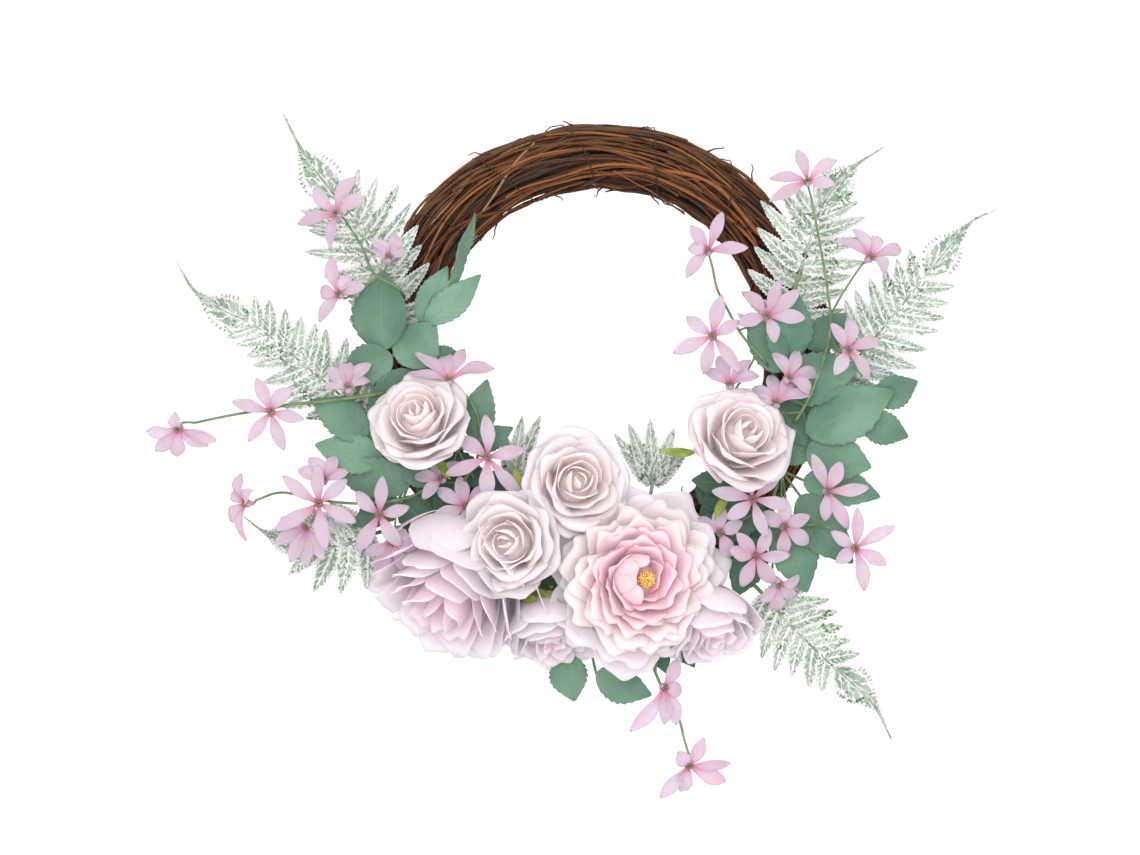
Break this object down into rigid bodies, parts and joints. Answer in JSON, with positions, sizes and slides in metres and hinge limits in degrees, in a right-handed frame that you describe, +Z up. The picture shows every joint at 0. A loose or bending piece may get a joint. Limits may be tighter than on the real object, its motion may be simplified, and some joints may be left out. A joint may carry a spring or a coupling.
{
  "type": "floral wreath",
  "caption": "Hanging wreath: a wire-bound twig ring carrying artificial peonies, roses, star flowers, leaves and fern fronds round its lower half and sides.",
  "frame": {"origin": "hook seat: the underside of the twig bundle at the top of the ring, where a hook or nail carries the wreath", "axes": "+Z up, +X to the right seen from the front, -Y out of the front of the wreath, +Y towards the wall or door"},
  "size_m": [0.553, 0.1166, 0.4458],
  "materials": {
    "vine": "rough twisted twigs, matt brown",
    "wire": "dark binding wire, dull",
    "stem": "moulded over wire, matt green",
    "calyx": "moulded, yellow-green, matt",
    "leaf": "printed cloth leaves, sage green, matt",
    "fern": "flocked, frosted white over green",
    "rose_petal": "die-cut cloth, pale blush, soft sheen",
    "peony_petal": "die-cut cloth, cream to pale pink, soft sheen",
    "peony_heart": "die-cut cloth, rose pink, soft sheen",
    "stamen": "fine yellow filaments",
    "star_petal": "die-cut cloth, lilac with a deep pink throat"
  },
  "bodies": {
    "wreath": {"vine_core": "vine", "vine_strand_1": "vine", "vine_strand_2": "vine", "vine_strand_3": "vine", "vine_strand_4": "vine", "vine_strand_5": "vine", "binding_wire": "wire", "rose_centre_left_stem": "calyx", "rose_centre_left_outer_petals": "rose_petal", "rose_centre_left_inner_petals": "rose_petal", "rose_top_mid_stem": "calyx", "rose_top_mid_outer_petals": "rose_petal", "rose_top_mid_inner_petals": "rose_petal", "rose_left_stem": "calyx", "rose_left_outer_petals": "rose_petal", "rose_left_inner_petals": "rose_petal", "rose_right_stem": "calyx", "rose_right_outer_petals": "rose_petal", "rose_right_inner_petals": "rose_petal", "peony_right_stem": "calyx", "peony_right_guard_petals": "peony_petal", "peony_right_ruffle_petals": "peony_petal", "peony_right_heart_petals": "peony_heart", "peony_right_stamens": "stamen", "peony_left_stem": "calyx", "peony_left_guard_petals": "peony_petal", "peony_left_ruffle_petals": "peony_petal", "bloom_low_mid_stem": "calyx", "bloom_low_mid_petals": "peony_petal", "bloom_low_right_stem": "calyx", "bloom_low_right_petals": "peony_petal", "fern_top_left_stem": "stem", "fern_left_stem": "stem", "fern_low_left_stem": "stem", "fern_top_right_stem": "stem", "fern_right_stem": "stem", "fern_low_right_stem": "stem", "fern_centre_left": "fern", "fern_centre_right": "fern", "leaves_left_upper": "leaf", "leaves_left_lower": "leaf", "leaves_right_upper": "leaf", "leaves_right_lower": "leaf", "leaves_low": "leaf", "stars_left_upper": "star_petal", "stars_left_lower": "star_petal", "stars_centre_left": "star_petal", "stars_right_centre": "star_petal", "stars_right_upper": "star_petal", "stars_right_lower": "star_petal", "stars_left_stem": "stem", "stars_low_stem": "stem"},
    "fern_top_left": {"fern_top_left_frond": "fern"},
    "fern_left": {"fern_left_frond": "fern"},
    "fern_low_left": {"fern_low_left_frond": "fern"},
    "fern_top_right": {"fern_top_right_frond": "fern"},
    "fern_right": {"fern_right_frond": "fern"},
    "fern_low_right": {"fern_low_right_frond": "fern"},
    "stars_left": {"stars_left_spray": "star_petal"},
    "stars_low": {"stars_low_spray": "star_petal"}
  },
  "joints": [
    {"name": "fern_top_left_bend", "type": "hinge", "parent": "wreath", "child": "fern_top_left", "pos_m": [-0.141, -0.028, -0.0552], "axis": [0, 1, 0], "range_deg": [-12, 12]},
    {"name": "fern_left_bend", "type": "hinge", "parent": "wreath", "child": "fern_left", "pos_m": [-0.163, -0.028, -0.1402], "axis": [0, 1, 0], "range_deg": [-10, 12]},
    {"name": "fern_low_left_bend", "type": "hinge", "parent": "wreath", "child": "fern_low_left", "pos_m": [-0.15, -0.027, -0.2262], "axis": [0, 1, 0], "range_deg": [0, 12]},
    {"name": "fern_top_right_bend", "type": "hinge", "parent": "wreath", "child": "fern_top_right", "pos_m": [0.131, -0.028, -0.0532], "axis": [0, 1, 0], "range_deg": [-12, 12]},
    {"name": "fern_right_bend", "type": "hinge", "parent": "wreath", "child": "fern_right", "pos_m": [0.163, -0.028, -0.1162], "axis": [0, 1, 0], "range_deg": [-12, 10]},
    {"name": "fern_low_right_bend", "type": "hinge", "parent": "wreath", "child": "fern_low_right", "pos_m": [0.108, -0.027, -0.2662], "axis": [0, 1, 0], "range_deg": [-12, 2]},
    {"name": "stars_left_bend", "type": "hinge", "parent": "wreath", "child": "stars_left", "pos_m": [-0.186, -0.042, -0.1402], "axis": [0, 1, 0], "range_deg": [-8, 10]},
    {"name": "stars_low_bend", "type": "hinge", "parent": "wreath", "child": "stars_low", "pos_m": [0.036, -0.034, -0.3142], "axis": [0, 1, 0], "range_deg": [-8, 8]}
  ]
}
